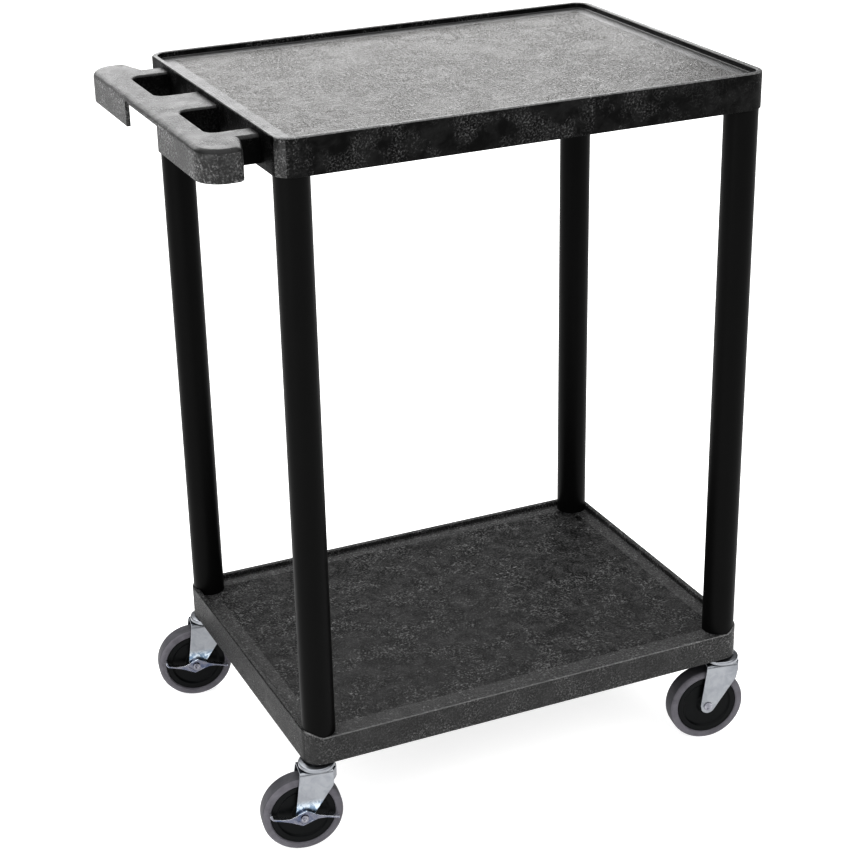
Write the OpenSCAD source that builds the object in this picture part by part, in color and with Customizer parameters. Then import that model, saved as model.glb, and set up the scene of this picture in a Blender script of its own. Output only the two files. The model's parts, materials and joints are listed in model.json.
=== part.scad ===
// Rolling utility cart: two flat shelves on four round legs, a push handle moulded
// into the top shelf, and four swivel casters, two of them with brakes.
// Frame: origin on the floor under the middle of the whole cart, handle included,
// +Z up, +X away from the handle, -Y towards the open front edge. Millimetres.

/* [Shelves] */
// Distance along +X from the origin to the middle of the shelves
shelf_x = 35; // [30:1:40]
// Length of a shelf along X, without the handle
shelf_l = 610; // [540:1:760]
// Width of a shelf along Y
shelf_w = 450; // [420:1:560]
// Depth of a shelf's side band, lip included
shelf_h = 44; // [40:1:52]
// Height of the lip above the deck
lip_h = 7; // [5:0.5:9]
// Width of the lip's top
lip_w = 7; // [5:0.5:9]
// Thickness of the deck
deck_t = 6; // [4:0.5:8]
// Thickness of the side band's wall
wall_t = 6; // [4:0.5:8]
// Height of the top shelf's rim above the floor
top_z = 900; // [700:5:1000]
// Height of the bottom shelf's rim above the floor
bottom_z = 166; // [166:1:200]

/* [Legs] */
// Outer radius of a leg
leg_r = 20.5; // [18:0.5:21]
// Wall of the leg tube
leg_wall = 3.5; // [2.5:0.5:5]
// Distance from the shelf's edges to a leg's axis, also the shelf's corner radius
leg_inset = 22.5; // [22.5:0.5:26]

/* [Handle] */
// How far the handle stands out from the shelf
handle_reach = 80; // [75:1:100]
// Width of the grip bar between its outer edge and the hand slots
bar_w = 32; // [26:1:36]
// Width of the handle's plate up to where the arms start
grip_w = 59; // [54:1:62]
// How much narrower the plate is at its two ends
lug_taper = 13; // [0:1:16]
// Half of the handle's span along Y
grip_half = 214; // [205:1:218]
// Radius of the grip's outer corners
grip_r = 30; // [24:1:38]
// How far the handle's top lies below the rim
handle_drop = 6; // [4:1:10]
// Thickness of the handle's top plate
handle_t = 6; // [5:0.5:8]
// Depth of the skirt below the rim
skirt_depth = 43; // [32:1:44]
// Thickness of the skirt and the arm ribs
skirt_t = 5; // [4:0.5:6]
// Half of the gap in the middle of the outer skirt
notch_half = 60; // [40:1:80]
// Half of the middle arm's width
bridge_half = 37; // [30:1:45]
// Length of a hand slot along Y
slot_l = 104; // [90:1:105]
// Half of the arms' full span
arm_half = 172; // [165:1:180]

/* [Casters] */
// Wheel radius
wheel_r = 50.8; // [48:0.2:51]
// Wheel width
wheel_w = 25; // [22:0.5:26]
// Radius of the black hub inside the tyre
hub_r = 40.5; // [38:0.5:43]
// Distance from the swivel axis back to the wheel's axle
trail = 21.5; // [18:0.5:26]
// Distance from the shelf's end to a caster's swivel axis
caster_inset_x = 17; // [16:0.5:20]
// Distance from the shelf's side to a caster's swivel axis
caster_inset_y = 20; // [18:0.5:22]
// Angle that the casters stand at about their swivel axes
swivel = -10; // [-30:1:30]
// Gap between the fork's legs
fork_gap = 27; // [27:0.5:30]
// Thickness of the fork's sheet
fork_t = 2.5; // [2:0.25:3]
// Tilt of a released brake pedal, its trailing end raised
pedal_tilt = 14; // [8:1:20]

/* [Hidden] */
$fn = 96;

// The four corners, as signs along X and Y
handle_front = [-1, -1];
handle_rear = [-1, 1];
far_front = [1, -1];
far_rear = [1, 1];
CORNERS = [handle_front, handle_rear, far_front, far_rear];

foam_black = [0.10, 0.10, 0.11];
zinc = [0.80, 0.82, 0.84];
rubber_grey = [0.55, 0.54, 0.57];
hub_black = [0.12, 0.12, 0.13];
steel = [0.62, 0.63, 0.65];
nylon = [0.85, 0.85, 0.82];

eps = 0.01;
half_l = shelf_l / 2;
half_w = shelf_w / 2;
leg_x = half_l - leg_inset;
leg_y = half_w - leg_inset;
caster_x = half_l - caster_inset_x;
caster_y = half_w - caster_inset_y;

// Shelf levels above the rim's own height
deck_top = -lip_h;
deck_under = -lip_h - deck_t;
seat_gap = 0.1;
boss_r = leg_r + 4;
top_socket_depth = 26;
foot_depth = 16;
leg_bottom = bottom_z - foot_depth;
leg_top = top_z - shelf_h + top_socket_depth;
rib_t = 3;
rib_h = 20;
ribs_x = 6;
ribs_y = 4;

// Handle levels and places
grip_out = -half_l - handle_reach;
grip_in = grip_out + grip_w;
plate_top = top_z - handle_drop;
plate_under = plate_top - handle_t;
skirt_under = top_z - skirt_depth;
slot_out = grip_out + bar_w;
slot_corner_r = 12;
arm_rib_h = 26;
lug_r = 10;

// Caster levels
fork_out = fork_gap / 2 + fork_t;
shelf_under = bottom_z - shelf_h;
crown_top = shelf_under - 10;
crown_r = 24;
fork_back = -24;
fork_kink = [17, 89];
fork_end_r = 10.5;
ball_r = 2.6;
ball_ring_r = 15;
balls_n = 14;
play = 0.05;
race_r = 22.8;
race_t = 2;
race_under = crown_top + 2 * ball_r + 4 * play;
race_lip_gap = 1.2;
race_wall = 1.6;
stem_r = 5.5;
stem_top = shelf_under + 23;
rivet_r = 9;
rivet_h = 4.5;
collar_r = 11;
sleeve_r = 7.5;
sleeve_h = 25;
axle_r = 4;
bush_r = 6;
hub_boss_r = 11;
hub_boss_half = fork_gap / 2 - 0.6;
hub_face = wheel_w / 2 - 1.5;
hub_dish = 2.5;
tyre_edge_r = 5;
cam_t = 3;
pedal_t = 2.5;
bolt_head_t = 3;
bolt_head_r = 6.2;
nut_r = 7.5;
nut_t = 5;

// Brake pedal, measured from the axle's axis
web_half_l = 23;
web_half_h = 10.5;
tread_w = 7;
rear_tread_start = 16;
front_tread_start = 23;
tread_end = 43.5;
rear_tread_z = -5.25;
front_tread_z = 4.75;
curl_r = 7;

// A rounded rectangle about the origin
module rounded_rect(l, w, r) {
  square([l - 2 * r, w], center = true);
  square([l, w - 2 * r], center = true);
  for (c = CORNERS) translate([c.x * (l / 2 - r), c.y * (w / 2 - r)]) circle(r);
}

// Puts a piece drawn about the middle of the shelves where it belongs about the origin
module place() translate([shelf_x, 0, 0]) children();

// Puts children at a leg's axis
module at_leg(c) translate([c.x * leg_x, c.y * leg_y, 0]) children();

// Puts a caster's piece, drawn about its swivel axis with the wheel behind it, at its corner
module at_caster(c) translate([c.x * caster_x, c.y * caster_y, 0]) rotate(swivel) children();

// Puts children at a wheel's centre, with Z turned onto the axle's direction
module on_axle() translate([-trail, 0, wheel_r]) rotate([90, 0, 0]) children();

// One shelf with its rim at z = 0: band, deck, ribs under the deck and corner bosses
module shelf_shell(front_lip) {
  difference() {
    translate([0, 0, -shelf_h]) linear_extrude(shelf_h) rounded_rect(shelf_l, shelf_w, leg_inset);
    // tray between the lips, run out through the front edge where it has no lip
    translate([0, 0, deck_top]) linear_extrude(lip_h + 1) {
      rounded_rect(shelf_l - 2 * lip_w, shelf_w - 2 * lip_w, leg_inset - lip_w);
      if (!front_lip) translate([-half_l + lip_w, -half_w - 1])
        square([shelf_l - 2 * lip_w, half_w]);
    }
    translate([0, 0, -shelf_h - 1]) linear_extrude(shelf_h + 1 + deck_under)
      rounded_rect(shelf_l - 2 * wall_t, shelf_w - 2 * wall_t, leg_inset - wall_t);
  }
  rib_z = deck_under - rib_h;
  for (i = [1 : ribs_x])
    translate([-half_l + i * shelf_l / (ribs_x + 1) - rib_t / 2, -half_w + wall_t / 2, rib_z])
      cube([rib_t, shelf_w - wall_t, rib_h + 1]);
  for (j = [1 : ribs_y])
    translate([-half_l + wall_t / 2, -half_w + j * shelf_w / (ribs_y + 1) - rib_t / 2, rib_z])
      cube([shelf_l - wall_t, rib_t, rib_h + 1]);
}

// Corner block that a leg or a caster plugs into, kept inside the shelf's outline
module corner_bosses(z, h) {
  intersection() {
    translate([0, 0, z]) linear_extrude(h) rounded_rect(shelf_l, shelf_w, leg_inset);
    for (c = CORNERS) at_leg(c) translate([0, 0, z]) cylinder(r = boss_r, h = h);
  }
}

// Half of the grip's outline, set in by g: a round outer corner and a tapered lug
module half_grip(g) {
  outer_c = [grip_out + grip_r, grip_half - grip_r];
  lug_c = [grip_in - lug_taper - lug_r, grip_half - lug_r];
  shoulder = [grip_in - g, arm_half];
  to_shoulder = shoulder - lug_c;
  // direction from the lug circle's centre to where the tapered side touches it
  touch = atan2(to_shoulder.y, to_shoulder.x) + acos((lug_r - g) / norm(to_shoulder));
  translate(outer_c) circle(grip_r - g);
  translate(lug_c) circle(lug_r - g);
  polygon([
    [grip_out + g, -1],
    [grip_in - g, -1],
    shoulder,
    lug_c + (lug_r - g) * [cos(touch), sin(touch)],
    [lug_c.x, grip_half - g],
    [outer_c.x, grip_half - g],
    [grip_out + g, outer_c.y]
  ]);
}

module grip_outline(g) {
  half_grip(g);
  mirror([0, 1, 0]) half_grip(g);
}

// One hand slot, on the side of the middle arm that s gives
module hand_slot(s) {
  y0 = s > 0 ? bridge_half : -bridge_half - slot_l;
  translate([slot_out + slot_corner_r, y0]) square([-half_l - slot_out - slot_corner_r, slot_l]);
  translate([slot_out, y0 + slot_corner_r]) square([slot_corner_r * 2, slot_l - 2 * slot_corner_r]);
  for (y = [y0 + slot_corner_r, y0 + slot_l - slot_corner_r])
    translate([slot_out + slot_corner_r, y]) circle(slot_corner_r);
}

// Push handle: top plate with two hand slots, a skirt round the grip, ribs along the arms
module handle() {
  arm_l = -half_l - grip_in + wall_t / 2;
  translate([0, 0, plate_under]) linear_extrude(handle_t) difference() {
    union() {
      grip_outline(0);
      translate([grip_in - 1, -arm_half]) square([arm_l + 1, 2 * arm_half]);
    }
    hand_slot(-1);
    hand_slot(1);
  }
  // outer skirt, open towards the shelf and interrupted by the notch
  difference() {
    translate([0, 0, skirt_under]) linear_extrude(plate_under - skirt_under + 1) difference() {
      grip_outline(0);
      grip_outline(skirt_t);
      translate([grip_in - skirt_t - 1, -arm_half - 1]) square([skirt_t + 2, 2 * arm_half + 2]);
    }
    translate([grip_out - 1, -notch_half, skirt_under - 1])
      cube([grip_r, 2 * notch_half, plate_under - skirt_under + 1]);
  }
  // inner wall of the grip, behind the slots
  translate([slot_out - skirt_t, -arm_half, skirt_under + 4])
    cube([skirt_t, 2 * arm_half, plate_under - skirt_under - 3]);
  // ribs beside the slots
  for (s = [-1, 1], y = [bridge_half - skirt_t, bridge_half + slot_l, arm_half - skirt_t])
    translate([slot_out - 1, s > 0 ? y : -y - skirt_t, plate_under - arm_rib_h])
      cube([-half_l - slot_out + 2, skirt_t, arm_rib_h + 1]);
}

module top_shelf() {
  color(foam_black) difference() {
    union() {
      translate([0, 0, top_z]) shelf_shell(true);
      translate([0, 0, top_z]) corner_bosses(-shelf_h, shelf_h - lip_h - 1);
      handle();
    }
    for (c = CORNERS) at_leg(c) translate([0, 0, top_z - shelf_h - 1])
      cylinder(r = leg_r + seat_gap, h = top_socket_depth + 1);
  }
}

module bottom_shelf() {
  color(foam_black) difference() {
    union() {
      translate([0, 0, bottom_z]) shelf_shell(false);
      translate([0, 0, bottom_z]) corner_bosses(-shelf_h, shelf_h - lip_h);
    }
    for (c = CORNERS) {
      at_leg(c) translate([0, 0, leg_bottom]) cylinder(r = leg_r + seat_gap, h = foot_depth + 1);
      at_caster(c) translate([0, 0, shelf_under - 1]) cylinder(r = sleeve_r + play, h = sleeve_h + 1);
    }
  }
}

module leg() {
  color(foam_black) difference() {
    translate([0, 0, leg_bottom]) cylinder(r = leg_r, h = leg_top - leg_bottom);
    translate([0, 0, leg_bottom + leg_wall])
      cylinder(r = leg_r - leg_wall, h = leg_top - leg_bottom);
  }
}

// Sleeve in the shelf's corner that grips the caster's stem
module socket() {
  color(nylon) translate([0, 0, shelf_under]) difference() {
    cylinder(r = sleeve_r, h = sleeve_h);
    translate([0, 0, -1]) cylinder(r = stem_r + play, h = sleeve_h - 1);
  }
}

// King pin: riveted under the fork's crown, shouldered under the raceway and pushed into the sleeve
module stem() {
  color(steel) {
    translate([0, 0, crown_top - fork_t - 2 * play - rivet_h]) cylinder(r = rivet_r, h = rivet_h);
    translate([0, 0, crown_top - fork_t - rivet_h])
      cylinder(r = stem_r, h = stem_top - crown_top + fork_t + rivet_h);
    translate([0, 0, race_under + race_t]) cylinder(r = collar_r, h = shelf_under - race_under - race_t);
  }
}

// Dished upper raceway, fixed on the stem
module raceway() {
  color(zinc) difference() {
    translate([0, 0, crown_top + race_lip_gap])
      cylinder(r = race_r, h = race_under + race_t - crown_top - race_lip_gap);
    translate([0, 0, crown_top]) cylinder(r = race_r - race_wall, h = race_under - crown_top);
    translate([0, 0, crown_top]) cylinder(r = stem_r + play, h = shelf_under - crown_top);
  }
}

module swivel_balls() {
  color(steel) for (i = [0 : balls_n - 1]) rotate(i * 360 / balls_n)
    translate([ball_ring_r, 0, crown_top + 2 * play + ball_r]) sphere(r = ball_r, $fn = 32);
}

// Side view of one fork leg, with X along the wheel's travel and Y up
module fork_leg_outline() {
  d = [fork_kink.x + trail, fork_kink.y - wheel_r];
  a = atan2(d.y, d.x) - acos(fork_end_r / norm(d));
  side_x = sqrt(crown_r * crown_r - fork_out * fork_out);
  translate([-trail, wheel_r]) circle(fork_end_r);
  polygon([
    [fork_back, crown_top],
    [side_x, crown_top],
    [side_x, fork_kink.y + 6],
    fork_kink,
    [-trail + fork_end_r * cos(a), wheel_r + fork_end_r * sin(a)],
    [-trail - fork_end_r, wheel_r]
  ]);
}

// Pressed fork: round crown, two tapered legs, and a front wall that joins them
module fork() {
  front_wall_h = 15;
  color(zinc) difference() {
    union() {
      translate([0, 0, crown_top - fork_t]) linear_extrude(fork_t) {
        circle(crown_r);
        translate([fork_back, -fork_out]) square([-fork_back, 2 * fork_out]);
      }
      for (y = [-fork_gap / 2, fork_out]) translate([0, y, 0]) rotate([90, 0, 0])
        linear_extrude(fork_t) fork_leg_outline();
      translate([0, 0, crown_top - front_wall_h]) linear_extrude(front_wall_h - eps) intersection() {
        difference() {
          circle(crown_r);
          circle(crown_r - fork_t);
        }
        translate([crown_r / 2, -fork_out]) square([crown_r, 2 * fork_out]);
      }
    }
    translate([0, 0, crown_top - fork_t - 1]) cylinder(r = stem_r + play, h = fork_t + 2);
    on_axle() cylinder(r = axle_r + play, h = 3 * fork_out, center = true);
  }
}

// Axle bolt, its head on the -Y side, outside whatever is stacked there
module axle(stack) {
  front = -fork_out - stack;
  back = fork_out + nut_t + 1;
  color(steel) translate([-trail, 0, wheel_r]) rotate([-90, 0, 0]) {
    translate([0, 0, front]) cylinder(r = axle_r, h = back - front);
    translate([0, 0, front - bolt_head_t]) cylinder(r = bolt_head_r, h = bolt_head_t);
  }
}

module nut() {
  color(steel) translate([-trail, fork_out, wheel_r]) rotate([-90, 0, 0]) difference() {
    cylinder(r = nut_r, h = nut_t, $fn = 6);
    translate([0, 0, -1]) cylinder(r = axle_r + play, h = nut_t + 2);
  }
}

// Spacer tube clamped between the fork's legs, on which the wheel turns
module bushing() {
  color(steel) on_axle() difference() {
    cylinder(r = bush_r, h = fork_gap - 2 * play, center = true);
    cylinder(r = axle_r + play, h = fork_gap + 2, center = true);
  }
}

module hub() {
  dish_r = hub_r - 8;
  color(hub_black) on_axle() difference() {
    union() {
      cylinder(r = hub_r, h = 2 * hub_face, center = true);
      cylinder(r = hub_boss_r, h = 2 * hub_boss_half, center = true);
    }
    for (s = [-1, 1]) translate([0, 0, s * hub_face]) difference() {
      cylinder(r = dish_r, h = 2 * hub_dish, center = true);
      cylinder(r = hub_boss_r + 3, h = 3 * hub_dish, center = true);
    }
    cylinder(r = bush_r + play, h = 3 * wheel_w, center = true);
  }
}

module tyre() {
  edge = wheel_w / 2 - tyre_edge_r;
  color(rubber_grey) on_axle() rotate_extrude($fn = 128) {
    translate([hub_r + play, -wheel_w / 2])
      square([wheel_r - tyre_edge_r - hub_r - play, wheel_w]);
    translate([hub_r + play, -edge]) square([wheel_r - hub_r - play, 2 * edge]);
    for (s = [-1, 1]) translate([wheel_r - tyre_edge_r, s * edge]) circle(tyre_edge_r);
  }
}

// Cam disc on the braked fork's outer face
module brake_cam() {
  color(zinc) translate([-trail, -fork_out, wheel_r]) rotate([90, 0, 0]) difference() {
    cylinder(r = 9, h = cam_t - play);
    translate([0, 0, -1]) cylinder(r = axle_r + play, h = cam_t + 2);
  }
}

// Rocker pedal: a diamond web on the axle, with a foot tread bent towards the wheel at each end
module brake_pedal() {
  color(zinc) translate([-trail, -fork_out - cam_t, wheel_r]) rotate([0, pedal_tilt, 0]) difference() {
    union() {
      rotate([90, 0, 0]) linear_extrude(pedal_t) polygon([
        [-web_half_l, rear_tread_z - 1],
        [0, -web_half_h],
        [web_half_l, front_tread_z - 1],
        [web_half_l, front_tread_z + 1],
        [0, web_half_h],
        [-web_half_l, rear_tread_z + 1]
      ]);
      translate([front_tread_start, -pedal_t, front_tread_z - pedal_t / 2])
        cube([tread_end - front_tread_start, tread_w, pedal_t]);
      translate([-tread_end + curl_r, -pedal_t, rear_tread_z - pedal_t / 2])
        cube([tread_end - curl_r - rear_tread_start, tread_w, pedal_t]);
      // trailing end curled up
      translate([-tread_end + curl_r, tread_w - pedal_t, rear_tread_z - pedal_t / 2 + curl_r])
        rotate([90, 0, 0]) linear_extrude(tread_w) intersection() {
          difference() {
            circle(curl_r);
            circle(curl_r - pedal_t);
          }
          translate([-curl_r, -curl_r]) square(curl_r);
        }
    }
    rotate([90, 0, 0]) translate([0, 0, -1]) cylinder(r = axle_r + play, h = tread_w + 2);
  }
}

brake_stack = cam_t + pedal_t + play;

place() top_shelf();
place() bottom_shelf();
place() at_leg(handle_front) leg();  // leg_handle_front
place() at_leg(handle_rear) leg();  // leg_handle_rear
place() at_leg(far_front) leg();  // leg_far_front
place() at_leg(far_rear) leg();  // leg_far_rear
place() at_caster(handle_front) socket();  // socket_handle_front
place() at_caster(handle_rear) socket();  // socket_handle_rear
place() at_caster(far_front) socket();  // socket_far_front
place() at_caster(far_rear) socket();  // socket_far_rear
place() at_caster(handle_front) stem();  // stem_handle_front
place() at_caster(handle_rear) stem();  // stem_handle_rear
place() at_caster(far_front) stem();  // stem_far_front
place() at_caster(far_rear) stem();  // stem_far_rear
place() at_caster(handle_front) raceway();  // raceway_handle_front
place() at_caster(handle_rear) raceway();  // raceway_handle_rear
place() at_caster(far_front) raceway();  // raceway_far_front
place() at_caster(far_rear) raceway();  // raceway_far_rear
place() at_caster(handle_front) swivel_balls();  // balls_handle_front
place() at_caster(handle_rear) swivel_balls();  // balls_handle_rear
place() at_caster(far_front) swivel_balls();  // balls_far_front
place() at_caster(far_rear) swivel_balls();  // balls_far_rear
place() at_caster(handle_front) fork();  // fork_handle_front
place() at_caster(handle_rear) fork();  // fork_handle_rear
place() at_caster(far_front) fork();  // fork_far_front
place() at_caster(far_rear) fork();  // fork_far_rear
place() at_caster(handle_front) axle(brake_stack);  // axle_handle_front
place() at_caster(handle_rear) axle(brake_stack);  // axle_handle_rear
place() at_caster(far_front) axle(0);  // axle_far_front
place() at_caster(far_rear) axle(0);  // axle_far_rear
place() at_caster(handle_front) nut();  // nut_handle_front
place() at_caster(handle_rear) nut();  // nut_handle_rear
place() at_caster(far_front) nut();  // nut_far_front
place() at_caster(far_rear) nut();  // nut_far_rear
place() at_caster(handle_front) bushing();  // bushing_handle_front
place() at_caster(handle_rear) bushing();  // bushing_handle_rear
place() at_caster(far_front) bushing();  // bushing_far_front
place() at_caster(far_rear) bushing();  // bushing_far_rear
place() at_caster(handle_front) hub();  // hub_handle_front
place() at_caster(handle_rear) hub();  // hub_handle_rear
place() at_caster(far_front) hub();  // hub_far_front
place() at_caster(far_rear) hub();  // hub_far_rear
place() at_caster(handle_front) tyre();  // tyre_handle_front
place() at_caster(handle_rear) tyre();  // tyre_handle_rear
place() at_caster(far_front) tyre();  // tyre_far_front
place() at_caster(far_rear) tyre();  // tyre_far_rear
place() at_caster(handle_front) brake_cam();  // brake_cam_handle_front
place() at_caster(handle_rear) brake_cam();  // brake_cam_handle_rear
place() at_caster(handle_front) brake_pedal();  // brake_pedal_handle_front
place() at_caster(handle_rear) brake_pedal();  // brake_pedal_handle_rear
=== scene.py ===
"""Looks of a rolling utility cart: black structural-foam shelves on round legs, with a
moulded push handle and four zinc-plated swivel casters.

Shapes are built in millimetres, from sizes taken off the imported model, and turned into
metres when a piece is made.
"""

import json
from math import asin, atan2, copysign, cos, hypot, pi, radians, sin, sqrt, tan

import bmesh
import bpy
from mathutils import Matrix, Vector


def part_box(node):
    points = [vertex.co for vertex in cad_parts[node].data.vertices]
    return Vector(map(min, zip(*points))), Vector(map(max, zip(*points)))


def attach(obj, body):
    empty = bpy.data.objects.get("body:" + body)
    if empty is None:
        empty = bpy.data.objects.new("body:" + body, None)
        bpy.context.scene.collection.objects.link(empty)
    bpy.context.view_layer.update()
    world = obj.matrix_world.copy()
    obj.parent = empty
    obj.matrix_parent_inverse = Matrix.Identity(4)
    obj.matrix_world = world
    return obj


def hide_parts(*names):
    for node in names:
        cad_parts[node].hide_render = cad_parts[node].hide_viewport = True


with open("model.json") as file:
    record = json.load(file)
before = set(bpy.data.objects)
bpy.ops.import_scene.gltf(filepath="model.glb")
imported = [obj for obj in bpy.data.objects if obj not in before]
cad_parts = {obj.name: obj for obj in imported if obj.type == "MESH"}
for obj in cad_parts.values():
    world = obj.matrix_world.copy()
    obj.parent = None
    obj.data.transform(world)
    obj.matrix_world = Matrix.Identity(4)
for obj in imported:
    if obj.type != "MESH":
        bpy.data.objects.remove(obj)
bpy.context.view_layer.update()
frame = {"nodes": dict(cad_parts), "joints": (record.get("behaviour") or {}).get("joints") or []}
scene = bpy.context.scene
joints = {j["name"]: j for j in frame["joints"]}

CORNERS = {
    "handle_front": (-1, -1),
    "handle_rear": (-1, 1),
    "far_front": (1, -1),
    "far_rear": (1, 1),
}
BRAKED = ("handle_front", "handle_rear")

TO_METRES = Matrix.Scale(0.001, 4)
IN_PLACE = Matrix.Identity(4)
# for an outline drawn in Y and Z and extruded along X
ALONG_X = Matrix(((0, 0, 1, 0), (1, 0, 0, 0), (0, 1, 0, 0), (0, 0, 0, 1)))
SHARP_ANGLE = radians(32)


def box_mm(node):
    low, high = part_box(node)
    return low * 1000, high * 1000


# ---- Sizes, in millimetres -----------------------------------------------------------

top_low, top_high = box_mm("top_shelf")
base_low, base_high = box_mm("bottom_shelf")
leg_low, leg_high = box_mm("leg_handle_front")

SHELF_X = (base_low.x + base_high.x) / 2
SHELF_END = base_low.x
HALF_L = (base_high.x - base_low.x) / 2
HALF_W = base_high.y
CORNER_R = 22.5
RIM = top_high.z
BASE_RIM = base_high.z
BAND = RIM - top_low.z
WALL = 6.0

# a shelf's lip and deck: heights from the rim, insets from the outline
LIP = 7.0
LIP_W = 7.0
LIP_OUTER_R = 2.0
LIP_INNER_R = 1.8
COVE_R = 2.2
DECK_EDGE = 9.5  # where the cove meets the deck
DECK_UNDER = -13.0
BORDER = 26.0  # where the textured field starts

LEG_R = (leg_high.x - leg_low.x) / 2
LEG_WALL = 3.5
SEAT_R = LEG_R + 0.1
BOSS_R = LEG_R + 4  # the round block at each corner that a leg plugs into

# the handle: its grip with a lug at each end, the arms to the shelf and the hand slots
GRIP_OUT = top_low.x
GRIP_IN = GRIP_OUT + 59
GRIP_HALF = 214.0
GRIP_R = 30.0
LUG_IN = GRIP_IN - 13
LUG_R = 10.0
ARM_HALF = 172.0
ARM_R = 5.0
ARM_END = SHELF_END + 3
PLATE_TOP = RIM - 6
PLATE_UNDER = RIM - 12
SKIRT_UNDER = RIM - 43
SKIRT_T = 5.0
RIB_UNDER = PLATE_UNDER - 26
NOTCH_HALF = 60.0  # a gap in the middle of the skirt
BRIDGE_HALF = 37.0  # the solid stretch between the two slots
SLOT_OUT = GRIP_OUT + 32
SLOT_L = 104.0
SLOT_R = 12.0


# ---- Outlines and solids ---------------------------------------------------------------


def quarter(steps):
    """(cosine, sine) at even steps of a quarter turn, both ends included."""
    return [(cos(pi / 2 * k / steps), sin(pi / 2 * k / steps)) for k in range(steps + 1)]


def rounded(corners, steps=6):
    """A closed outline from (x, y, radius) corners, each turned into an arc."""
    points = []
    for i, (x, y, r) in enumerate(corners):
        corner = Vector((x, y))
        back = Vector(corners[i - 1][:2]) - corner
        ahead = Vector(corners[(i + 1) % len(corners)][:2]) - corner
        if r <= 0:
            points.append(corner)
            continue
        back.normalize()
        ahead.normalize()
        half = back.angle(ahead) / 2
        centre = corner + (back + ahead).normalized() * (r / sin(half))
        start = corner + back * (r / tan(half)) - centre
        end = corner + ahead * (r / tan(half)) - centre
        first = atan2(start.y, start.x)
        sweep = (atan2(end.y, end.x) - first + pi) % (2 * pi) - pi
        for k in range(steps + 1):
            a = first + sweep * k / steps
            points.append(centre + Vector((cos(a), sin(a))) * r)
    return points


def inset(outline, distance):
    """A counter-clockwise outline moved inwards."""
    moved = []
    for i, p in enumerate(outline):
        before = (p - outline[i - 1]).normalized()
        after = (outline[(i + 1) % len(outline)] - p).normalized()
        n1, n2 = Vector((-before.y, before.x)), Vector((-after.y, after.x))
        moved.append(p + (n1 + n2) * (distance / (1 + n1.dot(n2))))
    return moved


def loft(bm, rings, place=IN_PLACE):
    """A closed solid through rings of 3-D points, capped at both ends."""
    rows = [[bm.verts.new(place @ Vector(p)) for p in ring] for ring in rings]
    count = len(rows[0])
    for low, high in zip(rows, rows[1:]):
        for i in range(count):
            j = (i + 1) % count
            bm.faces.new((low[i], low[j], high[j], high[i]))
    bm.faces.new(rows[0][::-1])
    bm.faces.new(rows[-1])


def stack(bm, outline, levels, place=IN_PLACE):
    """A solid whose outline is moved inwards by a distance of its own at each level."""
    loft(bm, [[(p.x, p.y, z) for p in inset(outline, d)] for d, z in levels], place)


def slab(bm, outline, low, high, r_low=0.0, r_high=0.0, place=IN_PLACE, steps=4):
    """An extruded outline with its lower and upper edges rounded."""
    lower, upper = [(0, low)], [(0, high)]
    if r_low > 0:
        lower = [(r_low * (1 - s), low + r_low * (1 - c)) for c, s in quarter(steps)]
    if r_high > 0:
        upper = [(r_high * (1 - c), high - r_high * (1 - s)) for c, s in quarter(steps)]
    stack(bm, outline, lower + upper, place)


def block(bm, low, high, r=0.0):
    """A box whose upright edges are rounded by r and its ends by a little less."""
    (x0, y0, z0), (x1, y1, z1) = low, high
    outline = rounded([(x0, y0, r), (x1, y0, r), (x1, y1, r), (x0, y1, r)], 3)
    slab(bm, outline, z0, z1, 0.8 * r, 0.8 * r, steps=3)


def lathe(bm, loop, place=IN_PLACE, segments=96, arc=None):
    """A solid turned about Z from a closed loop of (radius, z) points. With
    arc=(start, end), in degrees, it is part of a turn and capped at both ends."""

    def at(angle):
        return [(r * cos(angle), r * sin(angle), z) for r, z in loop]

    if arc:
        steps = int(segments * (arc[1] - arc[0]) / 360)
        loft(bm, [at(radians(arc[0] + (arc[1] - arc[0]) * i / steps)) for i in range(steps + 1)], place)
        return
    on_axis = {k: bm.verts.new(place @ Vector((0, 0, z))) for k, (r, z) in enumerate(loop) if r == 0}
    rows = []
    for i in range(segments):
        ring = enumerate(at(2 * pi * i / segments))
        rows.append([on_axis[k] if k in on_axis else bm.verts.new(place @ Vector(p)) for k, p in ring])
    for i, row in enumerate(rows):
        other = rows[(i + 1) % segments]
        for k in range(len(loop)):
            n = (k + 1) % len(loop)
            corners = list(dict.fromkeys((row[k], other[k], other[n], row[n])))
            if len(corners) > 2:
                bm.faces.new(corners)


def cylinder(bm, r, low, high, place, segments=48):
    lathe(bm, [(0, low), (r, low), (r, high), (0, high)], place, segments)


def profile(corners, steps=5):
    """A closed (radius, z) loop from (radius, z, fillet) corners."""
    return [(p.x, p.y) for p in rounded(corners, steps)]


# ---- Pieces ----------------------------------------------------------------------------


def make_object(name, bm):
    bmesh.ops.recalc_face_normals(bm, faces=bm.faces)
    mesh = bpy.data.meshes.new(name)
    bm.to_mesh(mesh)
    bm.free()
    obj = bpy.data.objects.new(name, mesh)
    scene.collection.objects.link(obj)
    return obj


def solid(name, build, *details, **more):
    """An object whose shape is made by one of the functions that fill a bmesh."""
    bm = bmesh.new()
    build(bm, *details, **more)
    return make_object(name, bm)


def apply_modifiers(obj):
    """Replaces the object's mesh by the one its modifiers make."""
    graph = bpy.context.evaluated_depsgraph_get()
    made = bpy.data.meshes.new_from_object(obj.evaluated_get(graph))
    obj.modifiers.clear()
    old = obj.data
    obj.data = made
    bpy.data.meshes.remove(old)


def combine(base, tools, operation):
    """base joined with, or cut by, each tool in turn. The tools are used up."""
    for tool in tools:
        cut = base.modifiers.new("cut", "BOOLEAN")
        cut.operation = operation
        cut.solver = "EXACT"
        cut.object = tool
        apply_modifiers(base)
        bpy.data.objects.remove(tool)


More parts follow.
